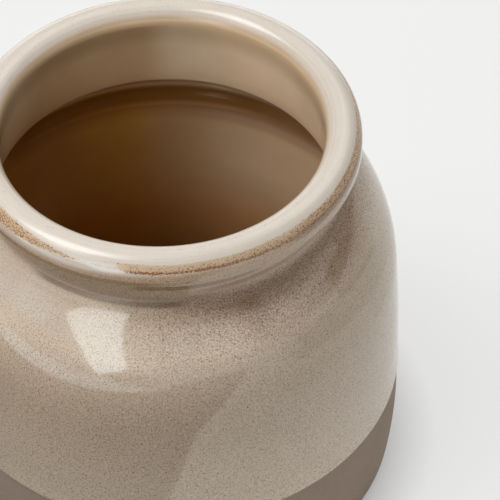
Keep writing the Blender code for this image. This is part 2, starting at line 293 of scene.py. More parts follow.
def jar_form(context):
    """The jar's sizes and colours, and the centres and turns of the arcs in its outline."""
    sizes = context.scene.jar_sizes
    form = SimpleNamespace(sizes=sizes, colours=context.scene.jar_colours, proud=sizes.glaze_proud)
    body, belly, mouth = sizes.body_radius, sizes.belly_height, sizes.mouth_radius

    form.lower_wall = (body - LOWER_WALL_CURVE, belly)
    form.foot_lean = math.asin((belly - FOOT_EDGE_ROUND) / (LOWER_WALL_CURVE - FOOT_EDGE_ROUND))
    form.foot = (
        form.lower_wall[0] + (LOWER_WALL_CURVE - FOOT_EDGE_ROUND) * math.cos(form.foot_lean),
        FOOT_EDGE_ROUND,
    )
    form.upper_wall = (body - UPPER_WALL_CURVE, belly)
    form.line_angle = math.asin((sizes.glaze_line - belly) / UPPER_WALL_CURVE)

    form.neck_radius = mouth + NECK_WALL
    form.rim_radius = mouth + sizes.rim_width
    form.crown_outer = sizes.rim_width - RIM_CREST_INSET
    form.crown = (mouth + RIM_CREST_INSET, sizes.height - RIM_CROWN_HEIGHT)
    form.rim_edge = (form.rim_radius - RIM_EDGE_ROUND, form.crown[1] - RIM_FACE_HEIGHT)
    form.underside_angle = UNDERSIDE_SLOPE - math.pi / 2
    reach = form.neck_radius + UNDERSIDE_FILLET - form.rim_edge[0]
    form.underside = (
        form.neck_radius + UNDERSIDE_FILLET,
        form.rim_edge[1]
        + (reach * math.sin(UNDERSIDE_SLOPE) - UNDERSIDE_FILLET - RIM_EDGE_ROUND)
        / math.cos(UNDERSIDE_SLOPE),
    )
    form.neck = (form.neck_radius + NECK_FILLET, form.underside[1] - NECK_LENGTH)

    # The shoulder's centre is as far from the wall's centre and the neck's as their curves say.
    near, far = UPPER_WALL_CURVE - SHOULDER_CURVE, SHOULDER_CURVE + NECK_FILLET
    apart = Vector(form.neck) - Vector(form.upper_wall)
    along = (near ** 2 - far ** 2 + apart.length_squared) / (2.0 * apart.length)
    aside = math.sqrt(near ** 2 - along ** 2)
    unit = apart.normalized()
    form.shoulder = (
        form.upper_wall[0] + along * unit.x + aside * unit.y,
        form.upper_wall[1] + along * unit.y - aside * unit.x,
    )
    form.shoulder_start = math.atan2(
        form.shoulder[1] - form.upper_wall[1], form.shoulder[0] - form.upper_wall[0])
    form.shoulder_end = math.atan2(
        form.neck[1] - form.shoulder[1], form.neck[0] - form.shoulder[0])

    form.throat = (mouth + THROAT_FLARE + THROAT_ROUND, sizes.height - THROAT_DEPTH)
    reach = form.throat[0] - mouth
    drop = form.crown[1] - form.throat[1]
    curve = (reach ** 2 + drop ** 2 - THROAT_ROUND ** 2) / (2.0 * THROAT_FLARE)
    form.neck_inner = (mouth + curve, form.crown[1])
    form.neck_inner_turn = math.atan2(drop, form.neck_inner[0] - form.throat[0])

    form.inner_radius = body - sizes.wall
    reach = form.throat[0] - form.inner_radius + INNER_SHOULDER_CURVE
    rise = math.sqrt((INNER_SHOULDER_CURVE + THROAT_ROUND) ** 2 - reach ** 2)
    form.inner_shoulder = (form.inner_radius - INNER_SHOULDER_CURVE, form.throat[1] - rise)
    form.throat_turn = math.atan2(rise, reach)
    form.floor = (form.inner_radius - FLOOR_ROUND, sizes.floor + FLOOR_ROUND)
    return form


def outside_moves(form, end):
    """From the glaze line up the wall, shoulder, neck and rim to an angle on the crown."""
    facing = (math.cos(form.underside_angle), math.sin(form.underside_angle))
    edge = UNDERSIDE_FILLET + RIM_EDGE_ROUND
    return [
        ("arc", form.upper_wall, form.shoulder_start - form.line_angle),
        ("arc", form.shoulder, form.shoulder_end - form.shoulder_start),
        ("arc", form.neck, -form.shoulder_end),
        ("line", (0.0, form.underside[1] - form.neck[1])),
        ("arc", form.underside, form.underside_angle),
        ("line", (
            form.rim_edge[0] - form.underside[0] + edge * facing[0],
            form.rim_edge[1] - form.underside[1] + edge * facing[1],
        )),
        ("arc", form.rim_edge, -form.underside_angle),
        ("line", (0.0, form.crown[1] - form.rim_edge[1])),
        ("oval", 0.0, end),
    ]


def inside_moves(form, start):
    """From an angle on the lip down the neck, throat, shoulder and wall to the floor."""
    return [
        ("oval", start, math.pi),
        ("arc", form.neck_inner, form.neck_inner_turn),
        ("arc", form.throat, form.throat_turn - form.neck_inner_turn),
        ("arc", form.inner_shoulder, -form.throat_turn),
        ("line", (0.0, form.floor[1] - form.inner_shoulder[1])),
        ("arc", form.floor, -math.pi / 2),
    ]


def turned_back(moves):
    """The same moves walked the other way."""
    back = []
    for kind, *how in reversed(moves):
        if kind == "arc":
            back.append((kind, how[0], -how[1]))
        elif kind == "line":
            back.append((kind, (-how[0][0], -how[0][1])))
        else:
            back.append((kind, how[1], how[0]))
    return back


def push(work, last, step):
    """Extrudes the outline's last vertex by a step in the plane of X and Z."""
    made = bmesh.ops.extrude_vert_indiv(work, verts=[last])["verts"]
    bmesh.ops.translate(work, verts=made, vec=(step[0], 0.0, step[1]))
    return made[0]


def swing(work, last, centre, turn, fineness):
    """Spins the outline's last vertex round a centre; returns the arc's new vertices."""
    radius = math.hypot(last.co.x - centre[0], last.co.z - centre[1])
    steps = max(1, math.ceil(abs(turn) * radius / fineness[0]), math.ceil(abs(turn) / fineness[1]))
    count = len(work.verts)
    bmesh.ops.spin(
        work, geom=[last], cent=(centre[0], 0.0, centre[1]), axis=(0.0, -1.0, 0.0),
        angle=turn, steps=steps, use_duplicate=False,
    )
    work.verts.ensure_lookup_table()
    return work.verts[count:]


def squeeze(work, verts, centre, across, up):
    """Scales vertices about a centre, so that a round arc becomes an oval one."""
    about = Matrix.Translation((-centre[0], 0.0, -centre[1]))
    bmesh.ops.scale(work, verts=verts, vec=(across, 1.0, up), space=about)


def walk(work, last, moves, form, proud, fineness):
    """Carries the outline on through its moves, at a distance that it stands proud of the clay."""
    for kind, *how in moves:
        if kind == "arc":
            last = swing(work, last, how[0], how[1], fineness)[-1]
        elif kind == "line":
            steps = max(1, math.ceil(math.hypot(*how[0]) / fineness[0]))
            for _ in range(steps):
                last = push(work, last, (how[0][0] / steps, how[0][1] / steps))
        else:
            for low, high in quarters(*how):
                outer = low + high < math.pi
                half = (form.crown_outer if outer else RIM_CREST_INSET) + proud
                rise = RIM_CROWN_HEIGHT + proud
                squeeze(work, [last], form.crown, rise / half, 1.0)
                arc = swing(work, last, form.crown, high - low, fineness)
                squeeze(work, [last] + arc, form.crown, half / rise, 1.0)
                last = arc[-1]
    return last


def quarters(first, last):
    """A stretch of the crown's oval, split at the crest where its half width changes."""
    crest = math.pi / 2
    if (first - crest) * (last - crest) < 0.0:
        return [(first, crest), (crest, last)]
    return [(first, last)]


def on_crown(form, angle, proud):
    """The point at an angle on the crown of the rim."""
    half = form.crown_outer if angle < math.pi / 2 else RIM_CREST_INSET
    return (
        form.crown[0] + (half + proud) * math.cos(angle),
        form.crown[1] + (RIM_CROWN_HEIGHT + proud) * math.sin(angle),
    )


def begun(point):
    """A new outline, and its first vertex at a distance from the axis and a height."""
    work = bmesh.new()
    return work, work.verts.new((point[0], 0.0, point[1]))


def to_point(work, last, point):
    """Extrudes the outline's last vertex straight to a point."""
    return push(work, last, (point[0] - last.co.x, point[1] - last.co.z))


def close_back(work, first, last, moves, form, angle):
    """Takes a coat's outline back along its hidden side, from an angle on the crown."""
    last = to_point(work, last, on_crown(form, angle, -GLAZE_BACK))
    last = walk(work, last, turned_back(moves), form, -GLAZE_BACK, HIDDEN)
    work.edges.new((last, first))


# Pieces


def wandered(co, amount):
    """How far the thrown form stands out from a true circle at a place, on either face of it."""
    around = Vector((co.x, co.y, co.z * WANDER_FLATTER))
    return amount * sum(share * noise.noise(around / length) for length, share in WANDER)


def throwing_rings(co):
    """The ridges inside the wall, as a distance out from the axis."""
    if not RINGS_LOW <= co.z <= RINGS_HIGH:
        return 0.0
    return -MM * sum(
        depth * math.exp(-((co.z / MM - height) / width) ** 2)
        for height, depth, width in THROWING_RINGS)


def shown(name, data):
    """An object of a mesh, a lamp or a camera, put in the scene."""
    item = bpy.data.objects.new(name, data)
    bpy.context.scene.collection.objects.link(item)
    return item


def meshed(name, work, materials):
    """An object of a finished shape, with its materials."""
    mesh = bpy.data.meshes.new(name)
    work.to_mesh(mesh)
    work.free()
    for material in materials:
        mesh.materials.append(material)
    return shown(name, mesh)


def spun_piece(name, work, materials, paint=None, ridges=None):
    """Spins an outline round the jar's axis, turns its faces outwards and makes it an object."""
    sizes = bpy.context.scene.jar_sizes
    bmesh.ops.spin(
        work, geom=work.verts[:] + work.edges[:], cent=(0.0, 0.0, 0.0), axis=(0.0, 0.0, 1.0),
        angle=2.0 * math.pi, steps=sizes.turn_steps, use_merge=True,
    )
    bmesh.ops.remove_doubles(work, verts=work.verts, dist=WELD)
    bmesh.ops.recalc_face_normals(work, faces=work.faces)
    if paint:
        for face in work.faces:
            face.material_index = paint(face)
    for vert in work.verts:
        radius = math.hypot(vert.co.x, vert.co.y)
        if radius > AXIS:
            out = wandered(vert.co, sizes.unevenness) + (ridges(vert.co) if ridges else 0.0)
            vert.co.x *= 1.0 + out / radius
            vert.co.y *= 1.0 + out / radius
    piece = meshed(name, work, materials)
    piece.data.shade_smooth()
    piece.data.set_sharp_from_angle(angle=CREASE_ANGLE)
    return piece


class JAR_OT_clay_body(bpy.types.Operator):
    """Thrown clay body with its bare foot, and the clay that shows where the rim's glaze breaks"""

    bl_idname = "jar.clay_body"
    bl_label = "Clay body"

    def execute(self, context):
        form = jar_form(context)
        ring = form.foot[0] - FOOT_RING_WIDTH
        work, last = begun((0.0, FOOT_RECESS_DEPTH))
        last = walk(
            work, last, [("line", (ring - FOOT_RECESS_ROUND - FOOT_RECESS_DEPTH, 0.0))],
            form, 0.0, HIDDEN)
        last = to_point(work, last, (ring - FOOT_RECESS_DEPTH / 2, FOOT_RECESS_DEPTH / 2))
        last = to_point(work, last, (ring, 0.0))
        last = to_point(work, last, (form.foot[0], 0.0))
        last = walk(work, last, [
            ("arc", form.foot, math.pi / 2 - form.foot_lean),
            ("arc", form.lower_wall, form.foot_lean),
            ("arc", form.upper_wall, form.line_angle),
        ], form, 0.0, SHOWN)
        last = to_point(work, last, (last.co.x - CLAY_BED, last.co.z))
        last = walk(work, last, outside_moves(form, OUTER_BREAK_LOW), form, -CLAY_BED, HIDDEN)
        for low, high in (
            (OUTER_BREAK_LOW, OUTER_BREAK_HIGH), (INNER_BREAK_HIGH, INNER_BREAK_LOW),
        ):
            last = to_point(work, last, on_crown(form, low, form.proud))
            last = walk(work, last, [("oval", low, high)], form, form.proud, SHOWN)
            last = to_point(work, last, on_crown(form, high, -CLAY_BED))
            if high < math.pi / 2:
                last = walk(
                    work, last, [("oval", high, INNER_BREAK_HIGH)], form, -CLAY_BED, HIDDEN)
        last = walk(work, last, inside_moves(form, INNER_BREAK_LOW), form, -CLAY_BED, HIDDEN)
        to_point(work, last, (0.0, last.co.z))

        # The clay's two bands on the rim, over which the glaze breaks, have their own material.
        piece = spun_piece(
            "clay_body", work, [fired_stoneware(form), rim_glaze(form, "broken_rim_glaze_fired")],
            lambda face: int(face.calc_center_median().z > form.crown[1] + 0.5 * MM))
        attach(piece, "root")
        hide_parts("stoneware_body")
        return {"FINISHED"}


class JAR_OT_outer_coat(bpy.types.Operator):
    """Beige glaze over the wall, the shoulder, the neck and the face of the rim"""

    bl_idname = "jar.outer_coat"
    bl_label = "Outer glaze"

    def execute(self, context):
        form = jar_form(context)
        line, roll = form.sizes.glaze_line, form.sizes.glaze_roll
        foot = form.upper_wall[0] + UPPER_WALL_CURVE * math.cos(form.line_angle)
        work, first = begun((foot, line))
        last = swing(work, first, (foot, line + roll), math.pi / 2, SHOWN)[-1]
        # The coat is thickest at its rolled edge, and thins to its usual coat a little above it.
        thinned = form.line_angle + ROLL_FADE / UPPER_WALL_CURVE
        curve = UPPER_WALL_CURVE + form.proud
        moves = outside_moves(form, OUTER_BREAK_LOW)
        last = walk(work, last, [
            ("line", (
                form.upper_wall[0] + curve * math.cos(thinned) - last.co.x,
                form.upper_wall[1] + curve * math.sin(thinned) - last.co.z,
            )),
            ("arc", form.upper_wall, form.shoulder_start - thinned),
        ] + moves[1:], form, form.proud, SHOWN)
        close_back(work, first, last, moves, form, OUTER_BREAK_LOW)
        piece = spun_piece("outer_coat", work, [speckled_glaze(form)])
        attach(piece, "root")
        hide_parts("outer_glaze")
        return {"FINISHED"}


class JAR_OT_rim_coat(bpy.types.Operator):
    """Cream glaze over the crown of the rolled rim"""

    bl_idname = "jar.rim_coat"
    bl_label = "Rim glaze"

    def execute(self, context):
        form = jar_form(context)
        moves = [("oval", OUTER_BREAK_HIGH, INNER_BREAK_HIGH)]
        work, first = begun(on_crown(form, OUTER_BREAK_HIGH, form.proud))
        last = walk(work, first, moves, form, form.proud, SHOWN)
        close_back(work, first, last, moves, form, INNER_BREAK_HIGH)
        piece = spun_piece("rim_coat", work, [rim_glaze(form, "cream_glaze_dipped")])
        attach(piece, "root")
        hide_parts("rim_glaze")
        return {"FINISHED"}


class JAR_OT_liner_coat(bpy.types.Operator):
    """Glossy brown glaze that lines the neck, the wall and the floor inside"""

    bl_idname = "jar.liner_coat"
    bl_label = "Liner glaze"

    def execute(self, context):
        form = jar_form(context)
        moves = inside_moves(form, INNER_BREAK_LOW)
        work, first = begun(on_crown(form, INNER_BREAK_LOW, form.proud))
        last = walk(work, first, moves, form, form.proud, SHOWN)
        walk(work, last, [("line", (-last.co.x, 0.0))], form, form.proud, SHOWN)
        last = to_point(work, first, on_crown(form, INNER_BREAK_LOW, -GLAZE_BACK))
        last = walk(work, last, moves, form, -GLAZE_BACK, HIDDEN)
        to_point(work, last, (0.0, last.co.z))
        piece = spun_piece("liner_coat", work, [liner_glaze(form)], ridges=throwing_rings)
        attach(piece, "root")
        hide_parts("liner_glaze")
        return {"FINISHED"}


# Materials


def live(source):
    """A socket as it is, or a node's first output that is in use."""
    if isinstance(source, bpy.types.NodeSocket):
        return source
    return next(socket for socket in source.outputs if socket.enabled)


def link(source, socket):
    """Joins a socket, or a node's live output, to another node's socket."""
    socket.id_data.links.new(live(source), socket)


def add_node(tree, kind, inputs=None, stops=None, **settings):
    """Adds a node with its settings; an input takes a value, a socket, or a node's live output.
    An operation is named after the node's kind, and a colour ramp has stops."""
    kind, *operation = kind.split()
    node = tree.nodes.new("ShaderNode" + kind)
    if operation:
        node.operation = operation[0]
    for name, value in settings.items():
        setattr(node, name, value)
    for key, value in (inputs or {}).items():
        if isinstance(value, (bpy.types.Node, bpy.types.NodeSocket)):
            link(value, node.inputs[key])
        else:
            node.inputs[key].default_value = value
    if stops:
        elements = node.color_ramp.elements
        while len(elements) < len(stops):
            elements.new(1.0)
        for element, (position, colour) in zip(elements, stops):
            element.position = position
            element.color = colour
    return node


def greys(*stops):
    """Stops of a colour ramp in plain greys, each from its position and level."""
    return [(position, (level, level, level, 1.0)) for position, level in stops]


def new_material(name):
    """A new material, the function that adds a node to it, and its Principled shader."""
    material = bpy.data.materials.new(name)
    material.use_nodes = True
    tree = material.node_tree
    return material, partial(add_node, tree), tree.nodes["Principled BSDF"]


def fired(name, roughness, ior):
    """A material for the jar with the shader's even values set, and a point on the jar."""
    material, add, shader = new_material(name)
    shader.inputs["Roughness"].default_value = roughness
    shader.inputs["IOR"].default_value = ior
    return material, add, shader, place(add)


def place(add):
    """A point on the jar: its position, height, distance from the axis, compass turn and side."""
    position = add("TexCoord").outputs["Object"]
    apart = add("SeparateXYZ", {0: position})
    x, y, z = apart.outputs
    flat = add("CombineXYZ", {0: x, 1: y})
    radius = add("VectorMath LENGTH", {0: flat}).outputs["Value"]
    azimuth = add("Math DEGREES", {0: add("Math ARCTAN2", {0: y, 1: x})})
    # From -1 at the jar's left to 1 at its right
    side = add("Math DIVIDE", {0: x, 1: radius})
    return SimpleNamespace(position=position, z=z, radius=radius, azimuth=azimuth, side=side)


def sized(at, size):
    """Inputs of a pattern on the jar whose cells or waves have a size in millimetres."""
    return {"Vector": at.position, "Scale": 1.0 / (size * MM)}


def shade(colour, factor=1.0, alpha=1.0):
    """A colour made lighter or darker, with its alpha."""
    return (*[min(1.0, c * factor) for c in colour], alpha)


def beige_ground(add, at, form):
    """Beige glaze with a fine brown grain, dark pinpoints of iron and a few paler crystals."""
    colours, line = form.colours, form.sizes.glaze_line
    cloud = add("TexNoise", {**sized(at, 14.0), "Detail": 3.0})
    ground = add("Mix", {
        0: cloud, 6: shade(colours.beige, 1.05), 7: shade(colours.beige, 1.17)}, **COLOURS)
    # The glaze is palest where it pooled above its rolled edge, and runs thinner up the wall; at
    # the neck its darker, browner tone is painted shade under the rim.
    climb = add("MapRange", {0: at.z, 1: line, 2: line + GLAZE_SPAN * MM})
    depth = add("ValToRGB", {0: climb}, stops=[
        (height / GLAZE_SPAN, (*tint, 1.0)) for height, *tint in GLAZE_DEPTH_AND_SHADE])
    ground = add("VectorMath MULTIPLY", {0: ground, 1: depth})
    # The real grain is 0.1 to 0.3 mm; it is drawn at 0.32 mm, about a pixel, so that it shows. Its
    # iron gathers on the shoulder, less at the jar's left, and spares the neck and the rim. The
    # denser, darker specks on the shoulder under the neck are partly painted shade, and the
    # sparser ones at the lit left partly painted light.
    grain = add("TexNoise", {**sized(at, 0.32), "Detail": 1.0, "Roughness": 0.6})
    side_iron_and_light = add("MapRange", {0: at.side, 1: -0.6, 2: 0.3, 3: -1.5, 4: 1.6})
    rise = add("MapRange", {
        0: at.z, 1: line + IRON_AND_SHADE_RISES[0], 2: line + IRON_AND_SHADE_RISES[1], 4: side_iron_and_light}, **EASED)
    # The iron share: real iron, and partly painted shade on the shoulder under the neck
    iron = add("MapRange", {
        0: at.z, 1: line + IRON_AND_SHADE_ENDS[0], 2: line + IRON_AND_SHADE_ENDS[1], 3: rise, 4: -0.6}, **EASED)
    dense = add("Math MULTIPLY_ADD", {0: iron, 1: 0.045, 2: grain})
    brown = add("MapRange", {0: dense, 1: 0.48, 2: 0.70, 4: 0.64}, **EASED)
    ground = add("Mix", {0: brown, 6: ground, 7: shade(colours.speck)}, **COLOURS)
    pale = add("MapRange", {0: grain, 1: 0.47, 2: 0.30, 4: 0.5}, **EASED)
    ground = add("Mix", {0: pale, 6: ground, 7: shade(colours.beige, 1.25)}, **COLOURS)
    # Iron specks of 0.2 to 0.4 mm, in some of the cells of 0.75 mm, and in more on the shoulder,
    # where they are partly painted shade
    cells = add("TexVoronoi", sized(at, 0.75))
    lot = add("SeparateColor", {0: cells.outputs["Color"]})
    chance = add("Math MULTIPLY_ADD", {0: iron, 1: 0.28, 2: lot})
    near = add("MapRange", {0: cells.outputs["Distance"], 1: 0.36, 2: 0.16, 4: 0.8}, **EASED)
    speck = add("MapRange", {0: chance, 1: 0.70, 2: 1.05, 4: near}, **EASED)
    return add("Mix", {0: speck, 6: ground, 7: shade(colours.speck, 0.55)}, **COLOURS)


def rim_colour(add, at, form):
    """Glaze round the rim: beige face, ochre break over its rust line, cream crown, tan lip."""
    colours = form.colours
    across = add("Math SUBTRACT", {0: at.radius, 1: form.crown[0]})
    half = add("MapRange", {
        0: across, 1: -0.01 * MM, 2: 0.01 * MM, 3: RIM_CREST_INSET, 4: form.crown_outer})
    out = add("Math DIVIDE", {0: across, 1: half})
    up = add("MapRange", {
        0: at.z, 1: form.crown[1], 2: form.crown[1] + RIM_CROWN_HEIGHT}, clamp=False)
    turn = add("Math DEGREES", {0: add("Math ARCTAN2", {0: up, 1: out})})

    # Grains of 0.2 to 0.5 mm fray the edges of each band, less towards the crest, and a slow
    # drift bends them.
    grit = add("TexNoise", {**sized(at, 0.5), "Detail": 2.0, "Roughness": 0.65})
    drift = add("TexNoise", {**sized(at, 9.0), "Detail": 2.0})
    frayed = add("MapRange", {0: grit, 3: -9.0, 4: 9.0}, clamp=False)
    bent = add("MapRange", {0: drift, 3: -4.0, 4: 4.0}, clamp=False)
    calm = add("MapRange", {0: turn, 1: 34.0, 2: 46.0, 3: 1.0, 4: 0.2})
    frayed = add("Math MULTIPLY_ADD", {0: frayed, 1: calm, 2: bent})
    rough_turn = add("Math ADD", {0: turn, 1: frayed})

    beige = beige_ground(add, at, form)
    soft = add("TexNoise", sized(at, 6.0))
    cream = add("Mix", {
        0: soft, 6: shade(colours.cream, 0.98), 7: shade(colours.cream, 1.06)}, **COLOURS)
    # Faint rings that the potter's sponge left on the crown
    rings = add("TexNoise", {"W": turn, "Scale": 0.12, "Detail": 1.0}, noise_dimensions="1D")
    ring = add("MapRange", {0: rings, 1: 0.52, 2: 0.66}, **EASED)
    cream = add("Mix", {0: ring, 6: cream, 7: RING_TINT}, **TINTED)
    # The cream coat reaches down the whole face at the left, and only to the break at the right.
    reach = add("MapRange", {0: at.side, 1: -0.5, 2: 0.1, 3: -10.0, 4: 10.0})
    reached = add("Math ADD", {0: reach, 1: 18.0})
    thick = add("MapRange", {0: rough_turn, 1: reach, 2: reached}, **EASED)
    ground = add("Mix", {0: thick, 6: beige, 7: cream}, **COLOURS)

    # The break runs from the front round the right; at the front left it is missing for a
    # stretch, and beyond that it widens again from a thin tail.
    ragged = add("MapRange", {0: grit, 3: -3.0, 4: 3.0}, clamp=False)
    slant = add("MapRange", {0: turn, 1: 23.0, 2: 43.0, 3: -1.4, 4: 1.4}, clamp=False)
    begin = add("Math ADD", {0: add("Math ADD", {0: at.azimuth, 1: ragged}), 1: slant})
    onset = add("MapRange", {0: begin, 1: BREAK_START[0], 2: BREAK_START[1]}, **EASED)
    tail = add("MapRange", {0: at.azimuth, 1: BREAK_TAIL[0], 2: BREAK_TAIL[1], 4: 1.6})
    to_right = add("MapRange", {0: at.side, 1: 0.3, 2: 0.85}, **EASED)
    trace = add("MapRange", {0: grit, 1: 0.50, 2: 0.56, 3: 0.01, 4: 0.12})
    width = add("Math MAXIMUM", {0: add("Math ADD", {0: onset, 1: tail}), 1: trace})
    width = add("Math MULTIPLY_ADD", {0: to_right, 1: 0.35, 2: width})
    middle = add("MapRange", {0: to_right, 3: BREAK_MIDDLE[0], 4: BREAK_MIDDLE[1]})
    off = add("Math SUBTRACT", {0: rough_turn, 1: middle})
    off = add("Math DIVIDE", {0: off, 1: width})
    band = add("MapRange", {0: off, 1: -BREAK_HALF, 2: BREAK_HALF})
    veil = add("ValToRGB", {0: band}, stops=greys(
        (0.16, 0.0), (0.36, 0.9), (0.78, 0.8), (0.90, 0.0)))
    ground = add("Mix", {0: veil, 6: ground, 7: shade(colours.ochre)}, **COLOURS)
    # Rust lies in grains: along one line at the front, and all over the band at either side.
    line = add("ValToRGB", {0: band}, stops=greys(
        (0.10, 0.24), (0.24, 0.64), (0.31, 0.58), (0.44, 0.37), (0.82, 0.34), (0.92, 0.24)))
    spread = add("ValToRGB", {0: band}, stops=greys(
        (0.08, 0.24), (0.30, 0.47), (0.78, 0.44), (0.95, 0.24)))
    to_left = add("MapRange", {0: at.side, 1: -0.38, 2: -0.5})
    aside = add("Math MAXIMUM", {0: to_left, 1: to_right})
    load = add("Mix", {0: aside, 6: line, 7: spread}, **COLOURS)
    grains = add("TexNoise", {**sized(at, 0.35), "Detail": 1.0, "Roughness": 0.6})
    rust = add("Math SUBTRACT", {0: load, 1: grains})
    rust = add("MapRange", {0: rust, 1: -0.08, 2: 0.06, 4: 0.96}, **EASED)
    ground = add("Mix", {0: rust, 6: ground, 7: shade(colours.rust)}, **COLOURS)

    inward = add("MapRange", {0: rough_turn, 1: 120.0, 2: 170.0})
    lip = add("ValToRGB", {0: inward}, stops=[
        (position, shade(colours.ochre, level, alpha)) for position, level, alpha in LIP])
    return add("Mix", {0: lip.outputs["Alpha"], 6: ground, 7: lip}, **COLOURS)


def surface(add, shader, colour, relief, strength, depth):
    """Joins a colour and a fine relief to the shader."""
    bump = add("Bump", {"Strength": strength, "Distance": depth, "Height": relief})
    link(colour, shader.inputs["Base Color"])
    link(bump, shader.inputs["Normal"])


def glaze_surface(add, shader, at, colour):
    """Joins a glaze's colour to the shader, with the faint orange peel of a fired surface."""
    peel = add("TexNoise", {**sized(at, 2.2), "Detail": 2.0})
    surface(add, shader, colour, peel, *ORANGE_PEEL)


def fired_stoneware(form):
    """Bare stoneware, fired grey-brown and wiped with a sponge: matt, with a fine grog grain."""
    clay = form.colours.clay
    material, add, shader, at = fired("fired_stoneware_sponged", *SPONGED_CLAY)
    cloud = add("TexNoise", {**sized(at, 9.0), "Detail": 4.0})
    ground = add("Mix", {0: cloud, 6: shade(clay, 0.91), 7: shade(clay, 1.07)}, **COLOURS)
    # Grog of 0.1 to 0.3 mm, drawn at 0.5 mm so that it shows
    grog = add("TexNoise", {**sized(at, 0.5), "Detail": 2.0, "Roughness": 0.6})
    dark = add("MapRange", {0: grog, 1: 0.48, 2: 0.72}, **EASED)
    ground = add("Mix", {0: dark, 6: ground, 7: shade(clay, 0.82)}, **COLOURS)
    surface(add, shader, ground, grog, *GROG_GRAIN)
    return material


def rim_glaze(form, name):
    """Glaze dipped and fired on the rim: thick, cream and softly glossy on the crown, and so thin
    over the rim's edges that ochre and rust show through."""
    material, add, shader, at = fired(name, *RIM_GLOSS)
    glaze_surface(add, shader, at, rim_colour(add, at, form))
    return material


def between(add, value, low, high, fade, share=1.0):
    """The share where a value lies between two limits, fading out beyond them."""
    start = add("MapRange", {0: value, 1: low - fade, 2: low, 4: share}, **EASED)
    return add("MapRange", {0: value, 1: high, 2: high + fade, 3: start, 4: 0.0}, **EASED)


def tints_and_painted_light(add, at, colour, patches):
    """Browner and paler patches of a coat, with tints matched to the photographed jar: mostly
    painted light and shade, and some of the coat's own colour.
    """
    for across, up, tint in patches:
        share = between(add, at.side, *across)
        share = between(add, at.z, *[height * MM for height in up], share)
        colour = add("Mix", {0: share, 6: colour, 7: (*tint, 1.0)}, **TINTED)
    return colour


def speckled_glaze(form):
    """Beige stoneware glaze, dipped and fired glossy, with iron specks melted through it and
    patches of painted light and shade.
    """
    material, add, shader, at = fired("speckled_beige_glaze_dipped", *OUTER_GLOSS)
    face = add("MapRange", {
        0: at.z, 1: form.rim_edge[1] - 2 * RIM_EDGE_ROUND, 2: form.rim_edge[1] - RIM_EDGE_ROUND})
    colour = add("Mix", {
        0: face, 6: beige_ground(add, at, form), 7: rim_colour(add, at, form)}, **COLOURS)
    glaze_surface(add, shader, at, tints_and_painted_light(add, at, colour, COAT_TINTS_AND_PAINTED_LIGHT))
    # In the crease at the neck's foot the coat is less glossy.
    crease = between(add, at.z, form.neck[1] - NECK_FILLET, form.neck[1] + 0.4 * MM, 0.6 * MM)
    gloss = add("MapRange", {0: crease, 3: OUTER_GLOSS[0], 4: CREASE_ROUGHNESS})
    link(gloss, shader.inputs["Roughness"])
    return material


def liner_glaze(form):
    """Liner glaze, poured and fired to a high gloss: tan where thin, honey-brown where thick, with
    painted light and shade inside.
    """
    material, add, shader, at = fired("liner_glaze_poured", *LINER_GLOSS)
    # It ran off the neck and gathered, thick and dark, under the shoulder and towards the floor;
    # the dark band under the inner shoulder is partly painted shade.
    climb = add("MapRange", {0: at.z, 1: 0.0, 2: form.crown[1]})
    depth = add("ValToRGB", {0: climb}, stops=[
        (height * MM / form.crown[1], shade(getattr(form.colours, tone), level))
        for height, tone, level in LINER_DEPTH_AND_SHADE])
    cloud = add("TexNoise", {**sized(at, 12.0), "Detail": 3.0})
    level = add("MapRange", {0: cloud, 3: 0.90, 4: 1.10})
    ground = add("VectorMath MULTIPLY", {0: depth, 1: level})
    ground = tints_and_painted_light(add, at, ground, LINER_TINTS_AND_PAINTED_LIGHT)
    lip = add("MapRange", {0: at.z, 1: form.crown[1] + 0.2 * MM, 2: form.crown[1] + 1.2 * MM})
    colour = add("Mix", {0: lip, 6: ground, 7: rim_colour(add, at, form)}, **COLOURS)
    glaze_surface(add, shader, at, colour)
    return material


# Studio

# Power of an area lamp for each unit of radiance and square metre of its face
WATTS_PER_RADIANCE = math.pi
# The point on the jar's axis that the lamps face
MIDDLE = Vector((0.0, 0.0, 75.0 * MM))
# Softboxes: width and height in metres, compass turn and elevation in degrees, metres away
LAMPS = (
    ("key", (0.50, 0.56), (-168.0, 62.0), 1.1),
    ("side", (0.50, 0.38), (-143.0, 40.0), 1.1),
    ("overhead", (0.6, 0.6), (-90.0, 89.0), 1.2),
    ("back", (1.4, 0.36), (90.0, 6.0), 1.5),
    ("upper_back", (0.9, 0.7), (60.0, 52.0), 1.3),
    ("front", (0.9, 0.5), (-72.0, 16.0), 1.4),
    ("right", (1.2, 0.6), (-15.0, 20.0), 1.4),
    ("inner", (0.45, 0.40), (-115.0, 43.0), 1.1),
)

# An upright scrim, the bright patch in it and the brighter hem at its foot, which the glaze
# mirrors: distance along it and height, in millimetres
SCRIM = ((-131, 0), (297, 0), (297, 250), (-131, 250))
WINDOW = ((11, 186), (32, 220), (94, 257), (171, 287), (157, 209), (190, 87), (111, 50), (45, 136))
SCRIM_HEM = ((-131, 0), (330, 0), (230, 18), (120, 46), (20, 46), (-131, 50))
PATCH_AWAY, SCRIM_AWAY = 290.0, 292.0
SCRIM_FACES = math.radians(-139.0)
COOL_WHITE = (0.84, 0.95, 1.0)
# A dark card just over the floor: distance along its edge and away from the jar, in millimetres
CARD = ((-500, 69), (700, 69), (700, 288), (-500, 288))
CARD_FACES = math.radians(-140.4)
CARD_LIFT = 0.3
# Share of the paper's colour that the card shows to diffuse rays
CARD_BOUNCE = 0.26
FLOOR_RADIUS = 3.0

